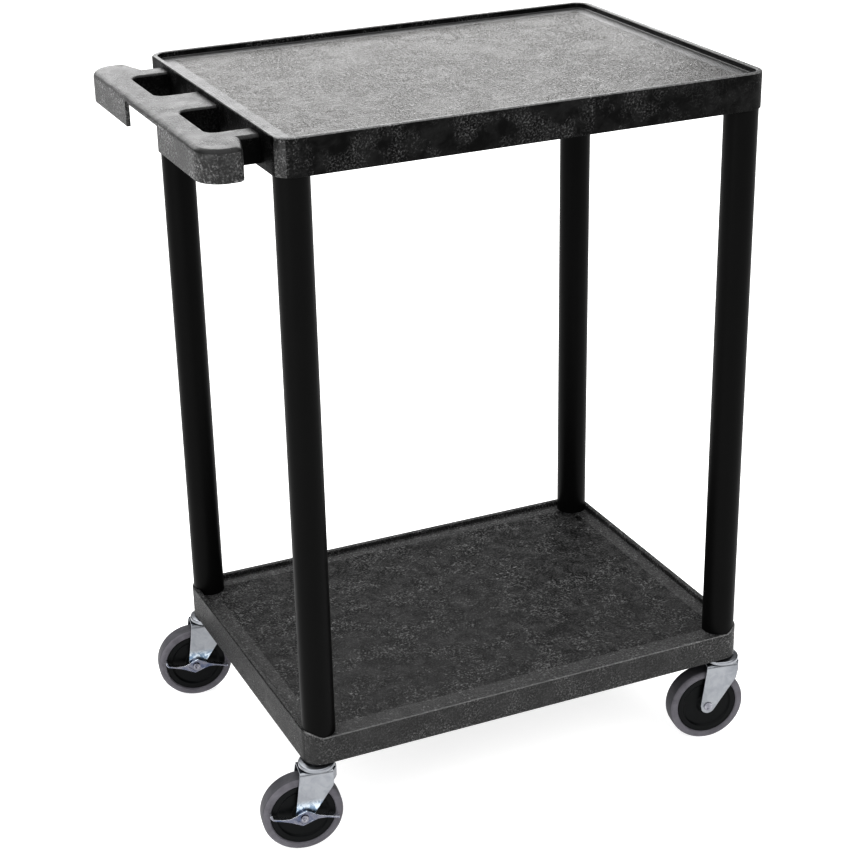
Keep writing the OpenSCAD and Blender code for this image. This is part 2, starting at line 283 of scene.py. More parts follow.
def add_piece(obj, body, materials, replaced, paint=None):
    """Finishes a piece built in millimetres: metres, shading, materials and body.
    paint gives each face the index of its material."""
    mesh = obj.data
    painted = [paint(face) if paint else 0 for face in mesh.polygons]
    mesh.transform(TO_METRES)
    mesh.materials.clear()
    for material in materials:
        mesh.materials.append(material)
    mesh.polygons.foreach_set("material_index", painted)
    mesh.shade_smooth()
    mesh.set_sharp_from_angle(angle=SHARP_ANGLE)
    flat = obj.modifiers.new("even normals", "WEIGHTED_NORMAL")
    flat.keep_sharp = True
    flat.weight = 100
    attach(obj, body)
    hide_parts(*replaced)


# ---- Materials -------------------------------------------------------------------------


def grey(level):
    return (level, level, level)


class Nodes:
    """A material's node tree, with short calls for what the materials here need."""

    def __init__(self, name):
        self.material = bpy.data.materials.new(name)
        self.material.use_nodes = True
        self.tree = self.material.node_tree
        self.shader = self.tree.nodes["Principled BSDF"]
        self.place = self.add("ShaderNodeTexCoord").outputs["Object"]

    def add(self, kind, **settings):
        node = self.tree.nodes.new(kind)
        for key, value in settings.items():
            setattr(node, key, value)
        return node

    def link(self, source, target):
        self.tree.links.new(source, target)

    def set(self, **values):
        """Constant values of the shader's inputs, with _ for each space in their names."""
        for key, value in values.items():
            self.shader.inputs[key.replace("_", " ")].default_value = value

    def stretched(self, scale):
        """Object coordinates scaled along each axis."""
        node = self.add("ShaderNodeMapping")
        node.inputs["Scale"].default_value = scale
        self.link(self.place, node.inputs["Vector"])
        return node.outputs["Vector"]

    def noise(self, scale, detail=3.0, roughness=0.5, distortion=0.0, at=None):
        node = self.add("ShaderNodeTexNoise")
        node.inputs["Scale"].default_value = scale
        node.inputs["Detail"].default_value = detail
        node.inputs["Roughness"].default_value = roughness
        node.inputs["Distortion"].default_value = distortion
        self.link(at or self.place, node.inputs["Vector"])
        return node.outputs["Fac"]

    def along(self, axis):
        """The object coordinate along X, Y or Z, in metres."""
        parts = self.add("ShaderNodeSeparateXYZ")
        self.link(self.place, parts.inputs["Vector"])
        return parts.outputs[axis]

    def remap(self, value, low, high, new_low=0.0, new_high=1.0, smooth=False):
        node = self.add("ShaderNodeMapRange", interpolation_type="SMOOTHSTEP" if smooth else "LINEAR")
        limits = {"From Min": low, "From Max": high, "To Min": new_low, "To Max": new_high}
        for key, number in limits.items():
            node.inputs[key].default_value = number
        self.link(value, node.inputs["Value"])
        return node.outputs["Result"]

    def math(self, operation, a, b):
        node = self.add("ShaderNodeMath", operation=operation)
        for socket, value in zip(node.inputs, (a, b)):
            if isinstance(value, (int, float)):
                socket.default_value = value
            else:
                self.link(value, socket)
        return node.outputs["Value"]

    def blend(self, factor, a, b):
        """A colour between a and b, each of them a tuple or a socket."""
        node = self.add("ShaderNodeMix", data_type="RGBA")
        self.link(factor, node.inputs[0])
        for socket, value in ((node.inputs[6], a), (node.inputs[7], b)):
            if isinstance(value, tuple):
                socket.default_value = (*value, 1)
            else:
                self.link(value, socket)
        return node.outputs[2]

    def bumps(self, *layers):
        """Stacks bumps from (height, strength, distance in metres) layers."""
        previous = None
        for height, strength, distance in layers:
            node = self.add("ShaderNodeBump")
            node.inputs["Strength"].default_value = strength
            node.inputs["Distance"].default_value = distance
            self.link(height, node.inputs["Height"])
            if previous:
                self.link(previous, node.inputs["Normal"])
            previous = node.outputs["Normal"]
        self.link(previous, self.shader.inputs["Normal"])

    def colour(self, value):
        self.link(value, self.shader.inputs["Base Color"])

    def rough(self, value):
        self.link(value, self.shader.inputs["Roughness"])


def foam_plastic(
    name, dark, light, rough, relief, grain, specular, patchy=0.1, tint=grey(1), shaded_beyond=None
):
    """Black structural foam. Patches of fine pebbles lie between smoother areas, which keep
    the share patchy of them. rough is the pebbles' roughness and that of the skin between
    them, relief their height in millimetres, and grain their number to the metre. The last
    argument is an x, in metres, beyond which the pebbles fade away: the surface darkens there,
    a painted shade."""
    m = Nodes(name)
    patch = m.remap(m.noise(24, 5, 0.65, 0.4), 0.44, 0.60, patchy, 1, smooth=True)
    # painted shade: past that x the pale pebbles fade, so the surface darkens away from the light
    if shaded_beyond is not None:
        patch = m.math("MULTIPLY", patch, m.remap(m.along("X"), shaded_beyond, shaded_beyond + 0.12, 1, 0.15))
    mottle = m.noise(55, 5, 0.65, 0.3)
    pebble = m.noise(grain, 3, 0.6, 0.3)
    speck = m.math("MULTIPLY", patch, m.remap(pebble, 0.44, 0.68, smooth=True))
    m.colour(m.blend(m.math("ADD", speck, m.remap(mottle, 0.4, 0.7, 0, 0.15)), dark, light))
    skin = m.remap(speck, 0, 1, rough[1], rough[0])
    m.rough(m.math("ADD", skin, m.remap(mottle, 0.35, 0.65, -0.05, 0.05)))
    fine, high = m.noise(2.3 * grain, 2, 0.5), relief / 1000
    m.bumps((mottle, 0.5, 0.8 * high), (speck, 0.9, high), (fine, 0.5, 0.2 * high))
    m.set(Specular_IOR_Level=specular, Specular_Tint=(*tint, 1))
    return m.material


def leg_plastic():
    """Smooth satin black tube with faint drawn lines along its length."""
    m = Nodes("Satin black tube")
    lines = m.noise(160, 3, 0.5, at=m.stretched((1, 1, 0.02)))
    haze = m.noise(14, 3, 0.5)
    m.colour(m.blend(haze, grey(0.006), grey(0.009)))
    m.rough(m.math("ADD", m.remap(haze, 0.3, 0.7, 0.36, 0.44), m.remap(lines, 0.3, 0.7, -0.02, 0.03)))
    m.bumps((lines, 0.10, 0.0002), (m.noise(900, 2, 0.5), 0.12, 0.00008))
    m.set(Specular_IOR_Level=0.09)
    return m.material


def zinc_plate(name, bright, dull, rough, blue_below=None):
    """Bright zinc on pressed steel: faint rolling lines and cloudy spots. Below the height
    blue_below, in metres, the passivation shows in bluish patches."""
    m = Nodes(name)
    cloud = m.noise(70, 4, 0.6, 0.6)
    grain = m.noise(900, 2, 0.5)
    lines = m.noise(500, 3, 0.5, at=m.stretched((1, 1, 0.06)))
    colour = m.blend(m.remap(cloud, 0.35, 0.75, smooth=True), bright, dull)
    if blue_below:
        low = m.remap(m.along("Z"), blue_below + 0.006, blue_below - 0.006, smooth=True)
        patches = m.remap(m.noise(160, 3, 0.6, 1.0), 0.42, 0.56, smooth=True)
        tinted = m.blend(patches, (0.20, 0.30, 0.42), (0.75, 0.84, 0.92))
        colour = m.blend(m.math("MULTIPLY", low, 0.75), colour, tinted)
    m.colour(colour)
    m.rough(m.math("ADD", m.remap(cloud, 0.3, 0.7, *rough), m.remap(grain, 0.3, 0.7, -0.02, 0.03)))
    m.bumps((lines, 0.08, 0.0001), (grain, 0.10, 0.00005))
    m.set(Metallic=1.0)
    return m.material


def tyre_rubber(name, dark, light):
    """Grey non-marking rubber, slightly purple, with fine moulding grain and scuffs."""
    m = Nodes(name)
    scuff = m.noise(45, 5, 0.65, 0.8)
    grain = m.noise(1100, 2, 0.6)
    m.colour(m.blend(m.remap(scuff, 0.35, 0.75), dark, light))
    m.rough(m.remap(scuff, 0.3, 0.7, 0.48, 0.62))
    m.bumps((scuff, 0.12, 0.0003), (grain, 0.18, 0.00008))
    m.set(Specular_IOR_Level=0.35)
    return m.material


def hub_plastic():
    """Black moulded polypropylene with a soft, slightly wavy skin."""
    m = Nodes("Black wheel centre")
    wave = m.noise(40, 3, 0.5, 0.4)
    grain = m.noise(1000, 2, 0.5)
    m.colour(m.blend(wave, (0.006, 0.0065, 0.0065), (0.010, 0.011, 0.012)))
    m.rough(m.remap(wave, 0.3, 0.7, 0.30, 0.42))
    m.bumps((wave, 0.15, 0.0004), (grain, 0.15, 0.00006))
    m.set(Specular_IOR_Level=0.16)
    return m.material


def turned_steel(name, dark, light, rough):
    """Turned steel with a little tarnish."""
    m = Nodes(name)
    tarnish = m.noise(160, 4, 0.6)
    m.colour(m.blend(m.remap(tarnish, 0.3, 0.7), dark, light))
    m.rough(m.remap(tarnish, 0.3, 0.7, rough - 0.05, rough + 0.08))
    m.bumps((m.noise(800, 2, 0.5), 0.10, 0.00006))
    m.set(Metallic=1.0)
    return m.material


def nylon():
    """Natural nylon, slightly cloudy."""
    m = Nodes("Natural nylon")
    cloud = m.noise(120, 3, 0.5)
    m.colour(m.blend(cloud, (0.66, 0.65, 0.58), (0.74, 0.73, 0.67)))
    m.rough(m.remap(cloud, 0.3, 0.7, 0.40, 0.52))
    m.bumps((m.noise(700, 2, 0.5), 0.10, 0.00006))
    return m.material


# the shelves' finishes: the edge highlight on both, the LOW ones on the bottom shelf and the rest on
# the top shelf and its handle; some hold painted light or shade, as said where each is made
DECK = foam_plastic(
    "Foam plastic deck", grey(0.001), (0.110, 0.107, 0.102), (0.30, 0.38),
    relief=1.6, grain=300, specular=0.40, patchy=0.3, tint=(1.0, 0.975, 0.93),
)
SMOOTH = foam_plastic(
    "Foam plastic smooth", grey(0.012), grey(0.030), (0.34, 0.42),
    relief=0.4, grain=400, specular=0.45, patchy=0.2,
)
# the smooth border round the top deck: its own smoother skin, with a paler tone that is painted
# highlight
RIM_EDGE = foam_plastic(
    "Foam plastic border painted highlight", grey(0.030), grey(0.080), (0.34, 0.40),
    relief=0.4, grain=400, specular=0.56, patchy=0.3,
)
# the top shelf's side band; past x = 0.13 m its pale pebbles fade, darkening the band towards the far
# end: painted shade
SIDE = foam_plastic(
    "Foam plastic side", grey(0.0005), grey(0.120), (0.30, 0.50),
    relief=1.6, grain=400, specular=0.15, patchy=0.0, shaded_beyond=0.13,
)
# painted shade: a near-black copy of the side plastic for the top shelf's end wall, slot walls and ribs
# under the handle, where shade falls
SHADED = foam_plastic(
    "Foam plastic inner painted shade", grey(0.0005), grey(0.020), (0.36, 0.50),
    relief=1.0, grain=400, specular=0.12,
)
# painted highlight: a paler, glossier copy of the side plastic whose bright speckles stand in for light
# glinting off the pebbles, on the handle's skirt and lugs and on the top shelf's corners by the handle
SPECKLE_HIGHLIGHT = foam_plastic(
    "Foam plastic speckle highlight", grey(0.006), grey(0.260), (0.28, 0.46),
    relief=1.8, grain=380, specular=0.55, patchy=0.2,
)
# painted highlight: a pale finish on the lip's rounded outer edge, standing in for the bright line of
# light along it
EDGE_HIGHLIGHT = foam_plastic(
    "Foam plastic edge highlight", grey(0.100), grey(0.240), (0.26, 0.36),
    relief=0.3, grain=400, specular=0.5, patchy=0.5,
)
LOW_DECK = foam_plastic(
    "Foam plastic lower deck", grey(0.0005), grey(0.250), (0.30, 0.40),
    relief=1.8, grain=380, specular=0.27, patchy=0.25,
)
# the smooth border round the lower deck: its own smoother skin, with a paler tone that is painted
# highlight along the edges
LOW_BORDER = foam_plastic(
    "Foam plastic lower border painted highlight", grey(0.020), grey(0.190), (0.34, 0.46),
    relief=1.2, grain=400, specular=0.5, patchy=0.6,
)
# painted light: a paler, glossier copy of the side plastic for the bottom shelf's band, corners and
# underside, standing in for the glow of the floor in front
LOW_SIDE_LIT = foam_plastic(
    "Foam plastic lower side painted light", grey(0.004), grey(0.160), (0.30, 0.50),
    relief=1.6, grain=400, specular=0.5, patchy=0.25,
)
# painted shade: a darker copy of the lower side plastic for the bottom shelf's end by the handle
LOW_END_SHADED = foam_plastic(
    "Foam plastic lower end painted shade", grey(0.001), grey(0.070), (0.32, 0.46),
    relief=1.4, grain=400, specular=0.30, patchy=0.15,
)
FINISHES = [DECK, SMOOTH, RIM_EDGE, SIDE, SHADED, SPECKLE_HIGHLIGHT, EDGE_HIGHLIGHT, LOW_DECK, LOW_BORDER, LOW_SIDE_LIT, LOW_END_SHADED]

LEG = leg_plastic()
FORK_TONES = ((0.33, 0.34, 0.358), (0.27, 0.28, 0.30), (0.28, 0.40))
ZINC = zinc_plate("Zinc plate", *FORK_TONES)
BRAKED_ZINC = zinc_plate("Zinc plate with blue end", *FORK_TONES, blue_below=0.068)
# painted shade: a darker copy of the fork's zinc for the crown's upper face, which lies under the
# raceway and the shelf
CROWN_ZINC_SHADED = zinc_plate("Zinc plate crown painted shade", (0.10, 0.11, 0.125), (0.05, 0.055, 0.065), (0.26, 0.36))
# painted highlight: a much brighter copy of the pedal's zinc for its edges and tread faces, standing in
# for the light they catch
PEDAL_EDGE_HIGHLIGHT = zinc_plate("Zinc plate edge highlight", (0.78, 0.80, 0.83), (0.66, 0.68, 0.72), (0.20, 0.30))
PEDAL_ZINC = zinc_plate("Blue zinc plate", (0.22, 0.22, 0.25), (0.10, 0.12, 0.18), (0.20, 0.34))
SIDEWALL = tyre_rubber("Grey tyre rubber", (0.106, 0.102, 0.114), (0.162, 0.157, 0.174))
TREAD = tyre_rubber("Grey tyre tread", (0.060, 0.059, 0.066), (0.105, 0.103, 0.114))
HUB = hub_plastic()
STEEL_TONES = ((0.50, 0.50, 0.51), (0.66, 0.66, 0.68))
STEEL = turned_steel("Turned steel", *STEEL_TONES, 0.32)
BALL = turned_steel("Bearing steel", *STEEL_TONES, 0.12)
BOLT = turned_steel("Peened bolt", (0.14, 0.14, 0.17), (0.42, 0.42, 0.45), 0.30)
NYLON = nylon()


# ---- Shelves ---------------------------------------------------------------------------


def shelf_path(steps=14):
    """(arc centre, unit normal outwards) for points round a shelf, counter-clockwise."""
    path = []
    for cx, cy, start in ((1, 1, 0), (-1, 1, 90), (-1, -1, 180), (1, -1, 270)):
        centre = Vector((cx * (HALF_L - CORNER_R), cy * (HALF_W - CORNER_R)))
        for k in range(steps + 1):
            a = radians(start + 90 * k / steps)
            path.append((centre, Vector((cos(a), sin(a)))))
    return path


def step_in(centre, out, depth):
    """The point at a depth inside a shelf's outline. The corner arcs keep a 1 mm radius."""
    r = max(CORNER_R - depth, 1.0)
    back = depth + r - CORNER_R
    return centre - Vector((copysign(back, centre.x), copysign(back, centre.y))) + out * r


def shelf_section():
    """(inset, height) points: under the deck, down inside the wall, up outside, over the lip
    and down to the deck."""
    inside = [(9.0, DECK_UNDER), (7.0, DECK_UNDER - 0.6), (WALL, DECK_UNDER - 2.4)]
    foot = [(WALL, -BAND + 1.0), (WALL - 0.4, -BAND + 0.2), (WALL - 1.2, -BAND)]
    foot += [(1.2, -BAND), (0.4, -BAND + 0.3), (0.0, -BAND + 1.2)]
    lip = [(LIP_OUTER_R * (1 - c), -LIP_OUTER_R * (1 - s)) for c, s in quarter(5)]
    lip += [(LIP_W - LIP_INNER_R * (1 - s), -LIP_INNER_R * (1 - c)) for c, s in quarter(4)]
    cove = [(DECK_EDGE - COVE_R * c, -LIP + COVE_R * (1 - s)) for c, s in quarter(5)[1:]]
    field = [(BORDER, -LIP), (BORDER + 0.5, -LIP - 0.15)]
    return inside + foot + lip + cove + field


def lip_share(point, front_open):
    """1 where the lip stands at full height, 0 along an open front edge. Round a front
    corner it rises from one to the other, and is up 2 mm before the corner ends."""
    if not front_open or point.y > -(HALF_W - CORNER_R):
        return 1.0
    t = (abs(point.x) - (HALF_L - CORNER_R)) / (CORNER_R - 2)
    t = min(1.0, max(0.0, t))
    return t * t * (3 - 2 * t)


def tray(bm, rim, front_open):
    """One shelf's deck, lip and side band as a closed solid."""
    path = shelf_path()
    rings = []
    for depth, height in shelf_section():
        ring = []
        for centre, out in path:
            p = step_in(centre, out, depth)
            share = lip_share(step_in(centre, out, 0), front_open)
            z = height
            if height > -LIP and depth < LIP_W / 2:
                z = height - LIP * (1 - share)
            elif height > -LIP:
                z = -LIP + (height + LIP) * share
            ring.append((SHELF_X + p.x, p.y, rim + z))
        rings.append(ring)
    loft(bm, rings)


def ribs(bm, rim, count_x, count_y):
    """Ribs under a deck, count_x from front to back and count_y from end to end, each a
    little thinner at its lower edge."""
    deep, root_half, foot_half = 20.0, 1.5, 1.1
    root = rim + DECK_UNDER + 1
    foot = root - 1 - deep

    def rib(a, b):
        along = (b - a).normalized()
        side = Vector((-along.y, along.x))

        def ring(half, z):
            return [(*(p + side * s * half), z) for p, s in ((a, 1), (a, -1), (b, -1), (b, 1))]

        loft(bm, [ring(foot_half - 0.4, foot), ring(foot_half, foot + 0.5), ring(root_half, root)])

    inner_l, inner_w = HALF_L - WALL / 2, HALF_W - WALL / 2
    for i in range(1, count_x + 1):
        x = SHELF_X - HALF_L + i * 2 * HALF_L / (count_x + 1)
        rib(Vector((x, -inner_w)), Vector((x, inner_w)))
    for j in range(1, count_y + 1):
        y = -HALF_W + j * 2 * HALF_W / (count_y + 1)
        rib(Vector((SHELF_X - inner_l, y)), Vector((SHELF_X + inner_l, y)))


def leg_place(corner):
    low, high = box_mm("leg_" + corner)
    middle = (low + high) / 2
    return Matrix.Translation((middle.x, middle.y, 0))


def corner_bosses(bm, low, high, count=72):
    """The round blocks that the legs plug into, kept inside the shelf's outline."""
    room = CORNER_R - 0.6
    for corner, sign in CORNERS.items():
        centre = leg_place(corner).translation
        points = []
        for k in range(count):
            a = 2 * pi * k / count
            dx, dy = cos(a) * sign[0], sin(a) * sign[1]
            reach = room if dx > 0 and dy > 0 else room / max(dx, dy, 0.01)
            r = min(BOSS_R, reach)
            points.append(Vector((centre.x + cos(a) * r, centre.y + sin(a) * r)))
        slab(bm, points, low, high, 0.8, 0)


def shelf_body(name, rim, front_open):
    """Tray, ribs and corner bosses joined into one solid."""
    body = solid(name, tray, rim, front_open)
    across, lengthwise = solid("ribs", ribs, rim, 6, 0), solid("ribs", ribs, rim, 0, 4)
    bosses = solid("bosses", corner_bosses, rim - BAND, rim - LIP - 1)
    combine(body, [across, lengthwise, bosses], "UNION")
    return body


def leg_seats(bm, low, high):
    """The round cuts that the legs stand in."""
    for corner in CORNERS:
        cylinder(bm, SEAT_R, low, high, leg_place(corner), 96)


# ---- Handle ----------------------------------------------------------------------------


def grip_outline(distance=0.0):
    corners = [
        (GRIP_OUT, -GRIP_HALF, GRIP_R),
        (LUG_IN, -GRIP_HALF, LUG_R),
        (GRIP_IN, -ARM_HALF, LUG_R),
        (GRIP_IN, ARM_HALF, LUG_R),
        (LUG_IN, GRIP_HALF, LUG_R),
        (GRIP_OUT, GRIP_HALF, GRIP_R),
    ]
    return inset(rounded(corners, 12), distance)


def arm_outline():
    """The arms' section, in Y and Z. Its top lies just under the grip's, so that the two
    faces don't coincide."""
    top = PLATE_TOP - 0.01
    corners = [
        (-ARM_HALF, PLATE_UNDER, 0.6),
        (ARM_HALF, PLATE_UNDER, 0.6),
        (ARM_HALF, top, ARM_R),
        (-ARM_HALF, top, ARM_R),
    ]
    return rounded(corners)


def slot_outline(side):
    near, far = BRIDGE_HALF, BRIDGE_HALF + SLOT_L
    if side < 0:
        near, far = -far, -near
    corners = [
        (SLOT_OUT, near, SLOT_R),
        (SHELF_END, near, 1.5),
        (SHELF_END, far, 1.5),
        (SLOT_OUT, far, SLOT_R),
    ]
    return rounded(corners, 8)


def flared_cut(bm, outline, edge=3.5):
    """A hole through the handle's plate whose upper rim is rounded."""
    flare = [(-edge * (1 - c), PLATE_TOP - edge * (1 - s)) for c, s in quarter(5)]
    stack(bm, outline, [(0, PLATE_UNDER - 2), *flare, (-edge, PLATE_TOP + 2)])


def handle_solid():
    """The push handle: grip with its skirt, arms with hand slots, and the walls below."""
    below, plate_root = SKIRT_UNDER - 2, PLATE_UNDER + 2
    body = solid("handle", slab, grip_outline(), SKIRT_UNDER, PLATE_TOP, 1.2, 7.0, steps=8)
    hollow = solid("hollow", slab, grip_outline(SKIRT_T), below, PLATE_UNDER)
    high = (GRIP_IN + 2, ARM_HALF, PLATE_UNDER)
    mouth = solid("mouth", block, (GRIP_IN - 9, -ARM_HALF, below), high)
    high = (GRIP_OUT + 12, NOTCH_HALF, PLATE_UNDER)
    notch = solid("notch", block, (GRIP_OUT - 2, -NOTCH_HALF, below), high)
    combine(body, [hollow, mouth, notch], "DIFFERENCE")

    arms = solid("arms", slab, arm_outline(), GRIP_IN - 20, ARM_END, place=ALONG_X)
    low = (SLOT_OUT - SKIRT_T, -ARM_HALF, SKIRT_UNDER + 4)
    wall = solid("wall", block, low, (SLOT_OUT, ARM_HALF, plate_root), 0.8)
    combine(body, [arms, wall], "UNION")
    for side in (-1, 1):
        for y in (BRIDGE_HALF - SKIRT_T, BRIDGE_HALF + SLOT_L, ARM_HALF - SKIRT_T):
            ends = sorted((side * y, side * (y + SKIRT_T)))
            low, high = (SLOT_OUT - 2, ends[0], RIB_UNDER), (ARM_END, ends[1], plate_root)
            combine(body, [solid("rib", block, low, high, 0.6)], "UNION")
    combine(body, [solid("slot", flared_cut, slot_outline(side)) for side in (-1, 1)], "DIFFERENCE")
    return body


def edge_distance(point):
    """How far a point lies inside the rounded outline of a shelf."""
    dx = abs(point.x - SHELF_X) - (HALF_L - CORNER_R)
    dy = abs(point.y) - (HALF_W - CORNER_R)
    if dx > 0 and dy > 0:
        return CORNER_R - hypot(dx, dy)
    return CORNER_R - max(dx, dy)


def shelf_paint(rim, deck, border, side, end, corner):
    """The finish of each face of a shelf: its deck, the border round the deck, its side band,
    the band's end by the handle, and the start of the corners there. The handle's skirt and lugs
    take the speckled painted highlight and the lip's rounded outer edge the edge's painted
    highlight; the finishes passed in carry the painted light and shade noted where each is made."""

    def index(face):
        at, up = face.center, face.normal.z
        on_skirt = at.x < SLOT_OUT - 1
        on_lug = at.x < GRIP_IN and abs(at.y) > ARM_HALF + 4
        depth = edge_distance(at)
        if at.x < SHELF_END - 3 and up > 0.3:
            finish = SMOOTH
        # the handle's skirt and lugs: painted highlight
        elif on_skirt or on_lug:
            finish = SPECKLE_HIGHLIGHT
        elif at.x < SHELF_END + 1.5:
            finish = end
        elif at.x < SHELF_END + 10 and up < 0.25:
            finish = corner
        # the lip's rounded outer edge: a painted highlight line
        elif depth < LIP_OUTER_R + 0.1 and 0.25 < up < 0.95:
            finish = EDGE_HIGHLIGHT
        elif up < 0.5 or at.z < rim - LIP - 1:
            finish = side
        else:
            finish = deck if depth > BORDER else border
        return FINISHES.index(finish)

    return index


def build_shelves():
    top = shelf_body("Top_shelf", RIM, False)
    combine(top, [handle_solid()], "UNION")
    combine(top, [solid("seats", leg_seats, RIM - BAND - 1, leg_high.z)], "DIFFERENCE")
    base = shelf_body("Bottom_shelf", BASE_RIM, True)
    combine(base, [solid("seats", leg_seats, leg_low.z, BASE_RIM + 5)], "DIFFERENCE")

    # top shelf: painted shade on the end under the handle, painted highlight on the corners there,
    # painted shade on the side band's far end, a partly painted highlight on the border
    paint = shelf_paint(RIM, DECK, RIM_EDGE, SIDE, end=SHADED, corner=SPECKLE_HIGHLIGHT)
    add_piece(top, "cart", FINISHES, ["top_shelf"], paint)
    # bottom shelf: painted light on the side band and corners, painted shade on the end, a partly
    # painted highlight on the border
    paint = shelf_paint(BASE_RIM, LOW_DECK, LOW_BORDER, LOW_SIDE_LIT, end=LOW_END_SHADED, corner=LOW_SIDE_LIT)
    add_piece(base, "cart", FINISHES, ["bottom_shelf"], paint)


# ---- Legs ------------------------------------------------------------------------------


def build_legs():
    bore, low, high = LEG_R - LEG_WALL, leg_low.z, leg_high.z
    tube = profile([(bore, low, 0.5), (LEG_R, low, 1.0), (LEG_R, high, 1.0), (bore, high, 0.5)], 3)
    for corner in CORNERS:
        leg = solid("Leg_" + corner, lathe, tube, leg_place(corner))
        add_piece(leg, "cart", [LEG], ["leg_" + corner])


# ---- Casters ---------------------------------------------------------------------------

GAP = 27.0
SHEET = 2.5
FORK_OUT = GAP / 2 + SHEET
FORK_BACK = -24.0
FORK_END_R = 10.5
KINK = (17.0, 89.0)  # where the front edge of a leg turns up into the crown, in X and Z
CROWN_R = 24.0
CROWN_BEND_R = 4.5
CROWN_WALL = 15.0
CROWN_WALL_REACH = 41.0
PIN_HOLE_R = 5.6
WHEEL_R = 50.8
WHEEL_W = 25.0
HUB_R = 40.5
AXLE_R = 4.0
AXLE_HOLE_R = AXLE_R + 0.05
AXLE_BACK = -(FORK_OUT + 6)
NUT_R = 7.5
CAM_R = 9.0
CAM_T = 3.0
PEDAL_T = 2.5
PEDAL_HALF = 43.5
PEDAL_TILT = 14.0
TREAD_DEPTH = 7.0
CURL_R = 7.0


def caster_place(corner):
    """The caster's own axes: origin on the floor under its swivel axis, X along its travel."""
    low, high = box_mm("stem_" + corner)
    axle = Vector(joints["wheel_spin_" + corner]["axis"])
    x = Vector((axle.y, -axle.x, 0))
    turn = Matrix((x, axle, (0, 0, 1))).transposed().to_4x4()
    middle = (low + high) / 2
    return Matrix.Translation((middle.x, middle.y, 0)) @ turn


def axle_place(corner):
    """The wheel's axes: origin at its centre, Z along the axle towards the outer side."""
    low, high = box_mm("hub_" + corner)
    turn = caster_place(corner).to_3x3().to_4x4()
    return Matrix.Translation((low + high) / 2) @ turn @ Matrix.Rotation(pi / 2, 4, "X")


def fork_back(z, crown_top, trail):
    """The back edge of a fork leg: straight, from its round end to the back of the crown."""
    lean = FORK_BACK + trail + FORK_END_R
    return -trail - FORK_END_R + lean * (z - WHEEL_R) / (crown_top - WHEEL_R)


def fork_levels(crown_top, trail):
    """(z, back x, front x) of a fork leg from its round end up to the crown's bend."""
    dx, dz = KINK[0] + trail, KINK[1] - WHEEL_R
    tangent = atan2(dz, dx) - pi / 2 + asin(FORK_END_R / hypot(dx, dz))
    touch = (-trail + FORK_END_R * cos(tangent), WHEEL_R + FORK_END_R * sin(tangent))
    steps, first = 9, 0.35
    levels = []
    for k in range(steps + 1):
        a = -pi / 2 + (k + first) * (pi / 2 + tangent) / (steps + first)
        reach = FORK_END_R * cos(a)
        levels.append((WHEEL_R + FORK_END_R * sin(a), -trail - reach, -trail + reach))
    for k in range(1, 7):
        z = touch[1] + (KINK[1] - touch[1]) * k / 6
        front = touch[0] + (KINK[0] - touch[0]) * k / 6
        if z > WHEEL_R:
            back = fork_back(z, crown_top, trail)
        else:
            back = -trail - sqrt(FORK_END_R**2 - (z - WHEEL_R) ** 2)
        levels.append((z, back, front))
    for z, front in ((KINK[1] + 3, KINK[0] + 0.45), (KINK[1] + 6, crown_side())):
        levels.append((z, fork_back(z, crown_top, trail), front))
    return levels


def crown_side():
    """How far forward the crown's round edge is where it meets the outside of a leg."""
    return sqrt(CROWN_R**2 - FORK_OUT**2)


def sheet_ring(at, out, back, front):
    """The cut through a bent sheet: a rectangle along X with rounded edges, at a point of
    the sheet's middle line and square to it."""
    half = SHEET / 2
    r = min(0.8, (front - back) / 2.2)
    outline = rounded([(back, -half, r), (front, -half, r), (front, half, r), (back, half, r)], 3)
    return [(p.x, at[0] + out[0] * p.y, at[1] + out[1] * p.y) for p in outline]


def fork_sheet(bm, crown_top, trail, place):
    """One bent sheet: a leg, the crown plate and the other leg."""
    middle, top = GAP / 2 + SHEET / 2, crown_top - SHEET / 2
    leg = fork_levels(crown_top, trail)
    stations = [((-middle, z), (-1, 0), back, front) for z, back, front in leg]
    for c, s in quarter(6):
        y, z = -middle + CROWN_BEND_R * (1 - c), top - CROWN_BEND_R * (1 - s)
        front = max(sqrt(CROWN_R**2 - (y - SHEET / 2 * c) ** 2), crown_side())
        stations.append(((y, z), (-c, s), fork_back(z, crown_top, trail), front))
    for k in range(1, 9):
        y = (-middle + CROWN_BEND_R) * (1 - k / 8)
        stations.append(((y, top), (0, 1), FORK_BACK, sqrt(CROWN_R**2 - y * y) - 1.5))
    other_half = [((-y, z), (-o[0], o[1]), b, f) for (y, z), o, b, f in stations[-2::-1]]
    loft(bm, [sheet_ring(*station) for station in stations + other_half], place)


def crown_wall(bm, crown_top, place):
    """The round wall at the front of the crown, with a ledge under the crown plate."""
    upper, under, foot = crown_top - 0.03, crown_top - SHEET + 0.03, crown_top - CROWN_WALL
    section = [
        (CROWN_R - 9, upper, 0.4),
        (CROWN_R - 9, under, 0.4),
        (CROWN_R - SHEET, under, 1.6),
        (CROWN_R - SHEET, foot, 0.7),
        (CROWN_R, foot, 0.7),
        (CROWN_R, upper, 3.6),
    ]
    lathe(bm, profile(section), place, arc=(-CROWN_WALL_REACH, CROWN_WALL_REACH))


def build_fork(corner, crown_top, trail, place):
    body = solid("Fork_" + corner, fork_sheet, crown_top, trail, place)
    combine(body, [solid("wall", crown_wall, crown_top, place)], "UNION")
    hole = solid("hole", cylinder, PIN_HOLE_R, crown_top - 9, crown_top + 4, place)
    combine(body, [hole], "DIFFERENCE")

    # the crown's upper face takes the painted shade
    def on_crown(face):
        return int(face.normal.z > 0.9 and face.center.z > crown_top - 2)

    finish = BRAKED_ZINC if corner in BRAKED else ZINC
    add_piece(body, "caster_" + corner, [finish, CROWN_ZINC_SHADED], ["fork_" + corner], on_crown)


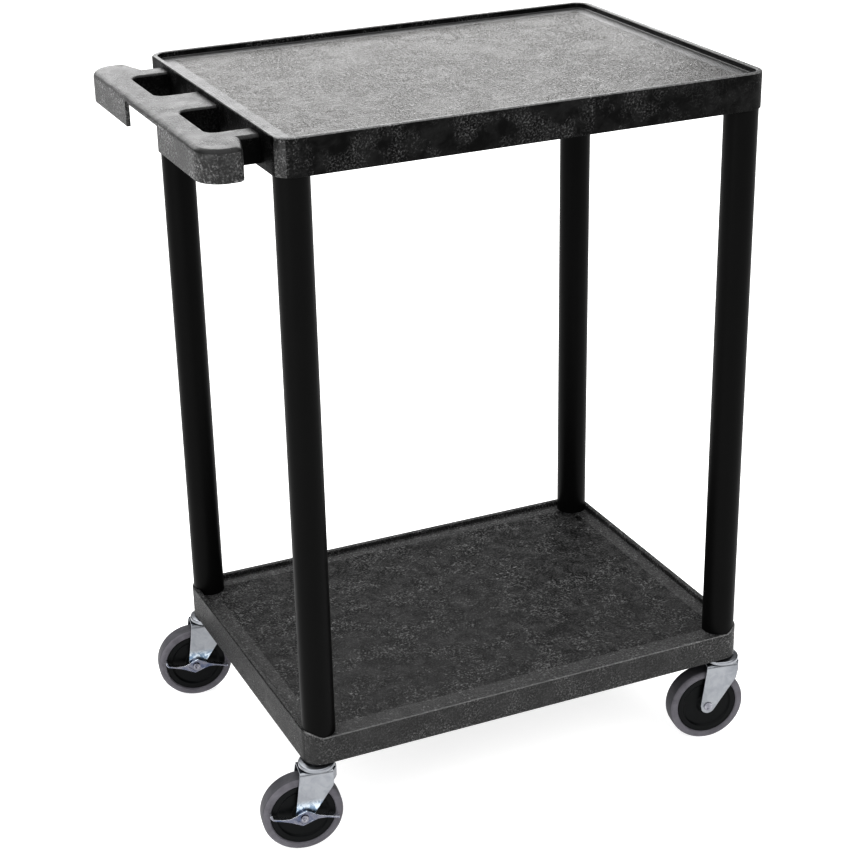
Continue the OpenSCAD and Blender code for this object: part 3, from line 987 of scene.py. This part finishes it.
def build_raceway(corner, place):
    """The dished ring above the crown, with a rolled lower edge."""
    low, high = box_mm("raceway_" + corner)
    r, foot, top = (high.x - low.x) / 2, low.z, high.z
    section = [
        (PIN_HOLE_R, top - 2.0, 0.3),
        (r - 6.5, top - 2.0, 1.2),
        (r - 1.6, top - 3.2, 0.9),
        (r - 1.6, foot, 0.5),
        (r, foot, 0.7),
        (r, top - 1.2, 2.2),
        (r - 6, top, 2.0),
        (PIN_HOLE_R, top, 0.3),
    ]
    ring = solid("Raceway_" + corner, lathe, profile(section), place)
    add_piece(ring, "cart", [ZINC], ["raceway_" + corner])


def build_wheel_centre(corner, place):
    """Black wheel centre with a dished web and a boss."""
    face, dish = WHEEL_W / 2 - 1.5, 2.5
    boss, boss_r, bore = GAP / 2 - 0.6, 11.0, 6.05

    def half(sign):
        return [
            (bore, sign * boss, 0.4),
            (boss_r, sign * boss, 1.4),
            (boss_r + 3, sign * (face - dish), 1.6),
            (HUB_R - 9, sign * (face - dish), 2.4),
            (HUB_R - 7.2, sign * face, 1.0),
            (HUB_R - 0.6, sign * face, 0.6),
        ]

    rim = [(HUB_R, -(face - 0.8), 0.3), (HUB_R, face - 0.8, 0.3)]
    section = half(-1) + rim + half(1)[::-1]
    centre = solid("Wheel_centre_" + corner, lathe, profile(section, 4), place, 128)
    add_piece(centre, "wheel_" + corner, [HUB], ["hub_" + corner])


def build_tyre(corner, place):
    """Grey tyre moulded round the wheel centre, its tread slightly crowned."""
    side, shoulder_r, inner = WHEEL_W / 2, 5.0, HUB_R + 0.05
    section = [
        (inner, -(side - 1.6), 0.3),
        (inner + 1.4, -side, 0.9),
        (WHEEL_R - 0.35, -side, shoulder_r),
        (WHEEL_R, 0, 60),
        (WHEEL_R - 0.35, side, shoulder_r),
        (inner + 1.4, side, 0.9),
        (inner, side - 1.6, 0.3),
    ]
    to_wheel = place.inverted()

    def on_tread(face):
        return int(abs((to_wheel @ face.center).z) < side - 2.5)

    tyre = solid("Tyre_" + corner, lathe, profile(section, 7), place, 128)
    add_piece(tyre, "wheel_" + corner, [SIDEWALL, TREAD], ["tyre_" + corner], on_tread)


def build_bolt(corner, place):
    """The axle bolt, with a riveted head, hollow in the middle, on the outer side."""
    braked = corner in BRAKED
    head = FORK_OUT + (CAM_T + PEDAL_T + 0.05 if braked else 0.0)
    head_r = 4.9 if braked else 6.0
    section = [
        (0, AXLE_BACK, 0),
        (AXLE_R, AXLE_BACK, 0.6),
        (AXLE_R, head, 0),
        (head_r, head, 0.2),
        (head_r, head + 1.3, 0.7),
        (0.55 * head_r, head + 1.7, 0.6),
        (0.35 * head_r, head + 0.8, 0.5),
        (0, head + 0.8, 0),
    ]
    bolt = solid("Axle_bolt_" + corner, lathe, profile(section, 4), place, 48)
    add_piece(bolt, "caster_" + corner, [BOLT], ["axle_" + corner])


def build_nut(corner, place):
    """A chamfered nut on the bolt's inner end."""
    turns = [radians(60 * k) for k in range(6)]
    hexagon = [Vector((NUT_R * cos(a), NUT_R * sin(a))) for a in turns]
    nut = solid("Axle_nut_" + corner, slab, hexagon, AXLE_BACK + 1, -FORK_OUT, 0.7, 0.3, place, 3)
    chamfer = [
        (AXLE_HOLE_R, AXLE_BACK - 4),
        (12, AXLE_BACK - 4),
        (12, AXLE_BACK + 3.2),
        (6.3, AXLE_BACK + 0.9),
        (AXLE_HOLE_R, AXLE_BACK + 0.9),
    ]
    cone = solid("cone", lathe, chamfer, place, 48)
    hole = solid("hole", cylinder, AXLE_HOLE_R, AXLE_BACK - 6, -FORK_OUT + 2, place)
    combine(nut, [cone, hole], "DIFFERENCE")
    add_piece(nut, "caster_" + corner, [BOLT], ["nut_" + corner])


def build_cam(corner, place):
    """The brake's cam disc, between fork and pedal."""
    hole, thick = AXLE_HOLE_R, CAM_T - 0.05
    section = [(hole, 0, 0.3), (CAM_R, 0, 0.3), (CAM_R, thick, 0.8), (hole, thick, 0.4)]
    on_fork = place @ Matrix.Translation((0, 0, FORK_OUT))
    cam = solid("Brake_cam_" + corner, lathe, profile(section, 3), on_fork, 64)
    add_piece(cam, "caster_" + corner, [PEDAL_ZINC], ["brake_cam_" + corner])


def thick_strip(path, thickness):
    """The counter-clockwise outline of a strip that follows a path, half its thickness to
    each side."""
    left, right = [], []
    for i, p in enumerate(path):
        a, b = path[max(i - 1, 0)], path[min(i + 1, len(path) - 1)]
        along = (b - a).normalized()
        side = Vector((-along.y, along.x)) * thickness / 2
        left.append(p + side)
        right.append(p - side)
    return right + left[::-1]


def tread(bm, path, place):
    slab(bm, thick_strip(path, PEDAL_T), PEDAL_T - TREAD_DEPTH, PEDAL_T, 0.5, 0.5, place, 3)


def build_pedal(corner, place):
    """Rocker pedal: a dished diamond web with a tread at each end. Its own plane has X along
    the pedal, Y up and Z away from the wheel."""
    lie = Matrix.Rotation(radians(-PEDAL_TILT), 4, "Z") @ Matrix.Translation((0, 0, FORK_OUT + CAM_T))
    place = place @ lie
    rear_y, front_y, half = -5.25, 4.75, PEDAL_T / 2
    web = [
        (-27, rear_y - half, 0.5),
        (-17, rear_y - half - 0.6, 8),
        (0, -10.5, 2.5),
        (17, front_y - half - 2.2, 12),
        (27, front_y - half, 0.5),
        (27, front_y + half, 0.5),
        (17, front_y + half + 0.6, 12),
        (0, 10.5, 2.5),
        (-17, rear_y + half + 2.2, 8),
        (-27, rear_y + half, 0.5),
    ]
    pedal = solid("Brake_pedal_" + corner, slab, rounded(web, 5), 0, PEDAL_T, 0.4, 0.4, place, 3)
    diamond = rounded([(-15, -0.5, 3), (0, -8.2, 2.5), (15, 0.5, 3), (0, 8.2, 2.5)], 4)
    dish = solid("dish", slab, diamond, PEDAL_T - 0.7, PEDAL_T + 3, 0.5, 0, place)
    combine(pedal, [dish], "DIFFERENCE")

    curl = CURL_R - half
    rear = [Vector((x, rear_y)) for x in (-20, -24, -28, -32)]
    for c, s in quarter(8):
        rear.append(Vector((-PEDAL_HALF + CURL_R - curl * s, rear_y + curl * (1 - c))))
    front = [Vector((x, front_y)) for x in (23, 28, 33, 38, PEDAL_HALF)]
    combine(pedal, [solid("tread", tread, path, place) for path in (rear, front)], "UNION")
    hole = solid("hole", cylinder, AXLE_HOLE_R, -3, 6, place)
    combine(pedal, [hole], "DIFFERENCE")
    axle = place.to_3x3() @ Vector((0, 0, 1))

    # faces not square to the axle, the pedal's edges and treads, take the painted highlight
    def on_edge(face):
        return int(abs(face.normal.dot(axle)) <= 0.8)

    finishes = [PEDAL_ZINC, PEDAL_EDGE_HIGHLIGHT]
    add_piece(pedal, "brake_" + corner, finishes, ["brake_pedal_" + corner], on_edge)


def build_casters():
    for corner in CORNERS:
        place, wheel = caster_place(corner), axle_place(corner)
        crown_top = box_mm("fork_" + corner)[1].z
        trail = -(place.inverted() @ wheel.translation).x
        build_fork(corner, crown_top, trail, place)
        build_raceway(corner, place)
        build_wheel_centre(corner, wheel)
        build_tyre(corner, wheel)
        build_bolt(corner, wheel)
        build_nut(corner, wheel)
        if corner in BRAKED:
            build_cam(corner, wheel)
            build_pedal(corner, wheel)


def finish_inner_nodes():
    """The CAD nodes that stay as they are: sleeves, king pins, balls and spacer tubes."""
    finishes = {"socket_": NYLON, "stem_": STEEL, "balls_": BALL, "bushing_": STEEL}
    for prefix, material in finishes.items():
        for corner in CORNERS:
            node = frame["nodes"][prefix + corner]
            node.data.materials.clear()
            node.data.materials.append(material)


# ---- Stage, light and camera -----------------------------------------------------------


def build_stage():
    """A pale floor that glows enough to lose almost all shadow."""
    bm = bmesh.new()
    bmesh.ops.create_grid(bm, x_segments=1, y_segments=1, size=30)
    floor = make_object("Floor", bm)
    m = Nodes("Pale floor")
    m.set(Base_Color=(0.65, 0.65, 0.65, 1), Roughness=0.9, Specular_IOR_Level=0.1)
    m.set(Emission_Color=(1, 1, 1, 1), Emission_Strength=0.55)
    floor.data.materials.append(m.material)


def sky_light(strength):
    world = bpy.data.worlds.new("Studio")
    scene.world = world
    world.use_nodes = True
    sky = world.node_tree.nodes["Background"]
    sky.inputs["Color"].default_value = (1, 1, 1, 1)
    sky.inputs["Strength"].default_value = strength


def add_light(name, kind, direction, power):
    data = bpy.data.lights.new(name, kind)
    data.energy = power
    light = bpy.data.objects.new(name, data)
    scene.collection.objects.link(light)
    light.rotation_euler = direction.to_track_quat("-Z", "Y").to_euler()
    return light


def overhead_light(direction, strength, width):
    """One even overhead source, wide enough for soft shadows."""
    add_light("Overhead", "SUN", Vector(direction), strength).data.angle = radians(width)


def soft_light(name, at, aim, size, power):
    light = add_light(name, "AREA", Vector(aim) - Vector(at), power)
    light.location = at
    light.data.shape = "RECTANGLE"
    light.data.size, light.data.size_y = size


def build_lights():
    sky_light(0.15)
    overhead_light((0.15, 0.25, -1), 2.6, 110)
    # low behind the cart: its glow lies on the top deck and the handle, not on the lower deck
    soft_light("Back strip", (0.08, 1.0, 1.35), (0.0, 0.0, 0.95), (1.9, 0.7), 12.5)
    soft_light("Left front", (-2.6, -1.4, 0.9), (0, 0, 0.45), (0.9, 1.6), 9)


def build_camera():
    """The camera at the photograph's viewing angle: azimuth, elevation and roll in degrees."""
    azimuth, elevation, roll = radians(-23.934), radians(24.651), radians(-1.304)
    back = Vector((sin(azimuth) * cos(elevation), -cos(azimuth) * cos(elevation), sin(elevation)))
    right = Vector((0, 0, 1)).cross(back).normalized()
    up = back.cross(right)
    right, up = right * cos(roll) + up * sin(roll), up * cos(roll) - right * sin(roll)
    data = bpy.data.cameras.new("Camera")
    data.sensor_width = 36
    data.lens = 85.9
    data.shift_x, data.shift_y = 0.0040, 0.0458
    data.clip_start, data.clip_end = 0.05, 60
    camera = bpy.data.objects.new("Camera", data)
    scene.collection.objects.link(camera)
    camera.matrix_world = Matrix((right, up, back)).transposed().to_4x4()
    camera.location = (-0.9794, -2.1777, 1.4747)
    scene.camera = camera


scene.view_settings.view_transform = "Standard"
scene.view_settings.look = "High Contrast"
build_shelves()
build_legs()
build_casters()
finish_inner_nodes()
build_stage()
build_lights()
build_camera()
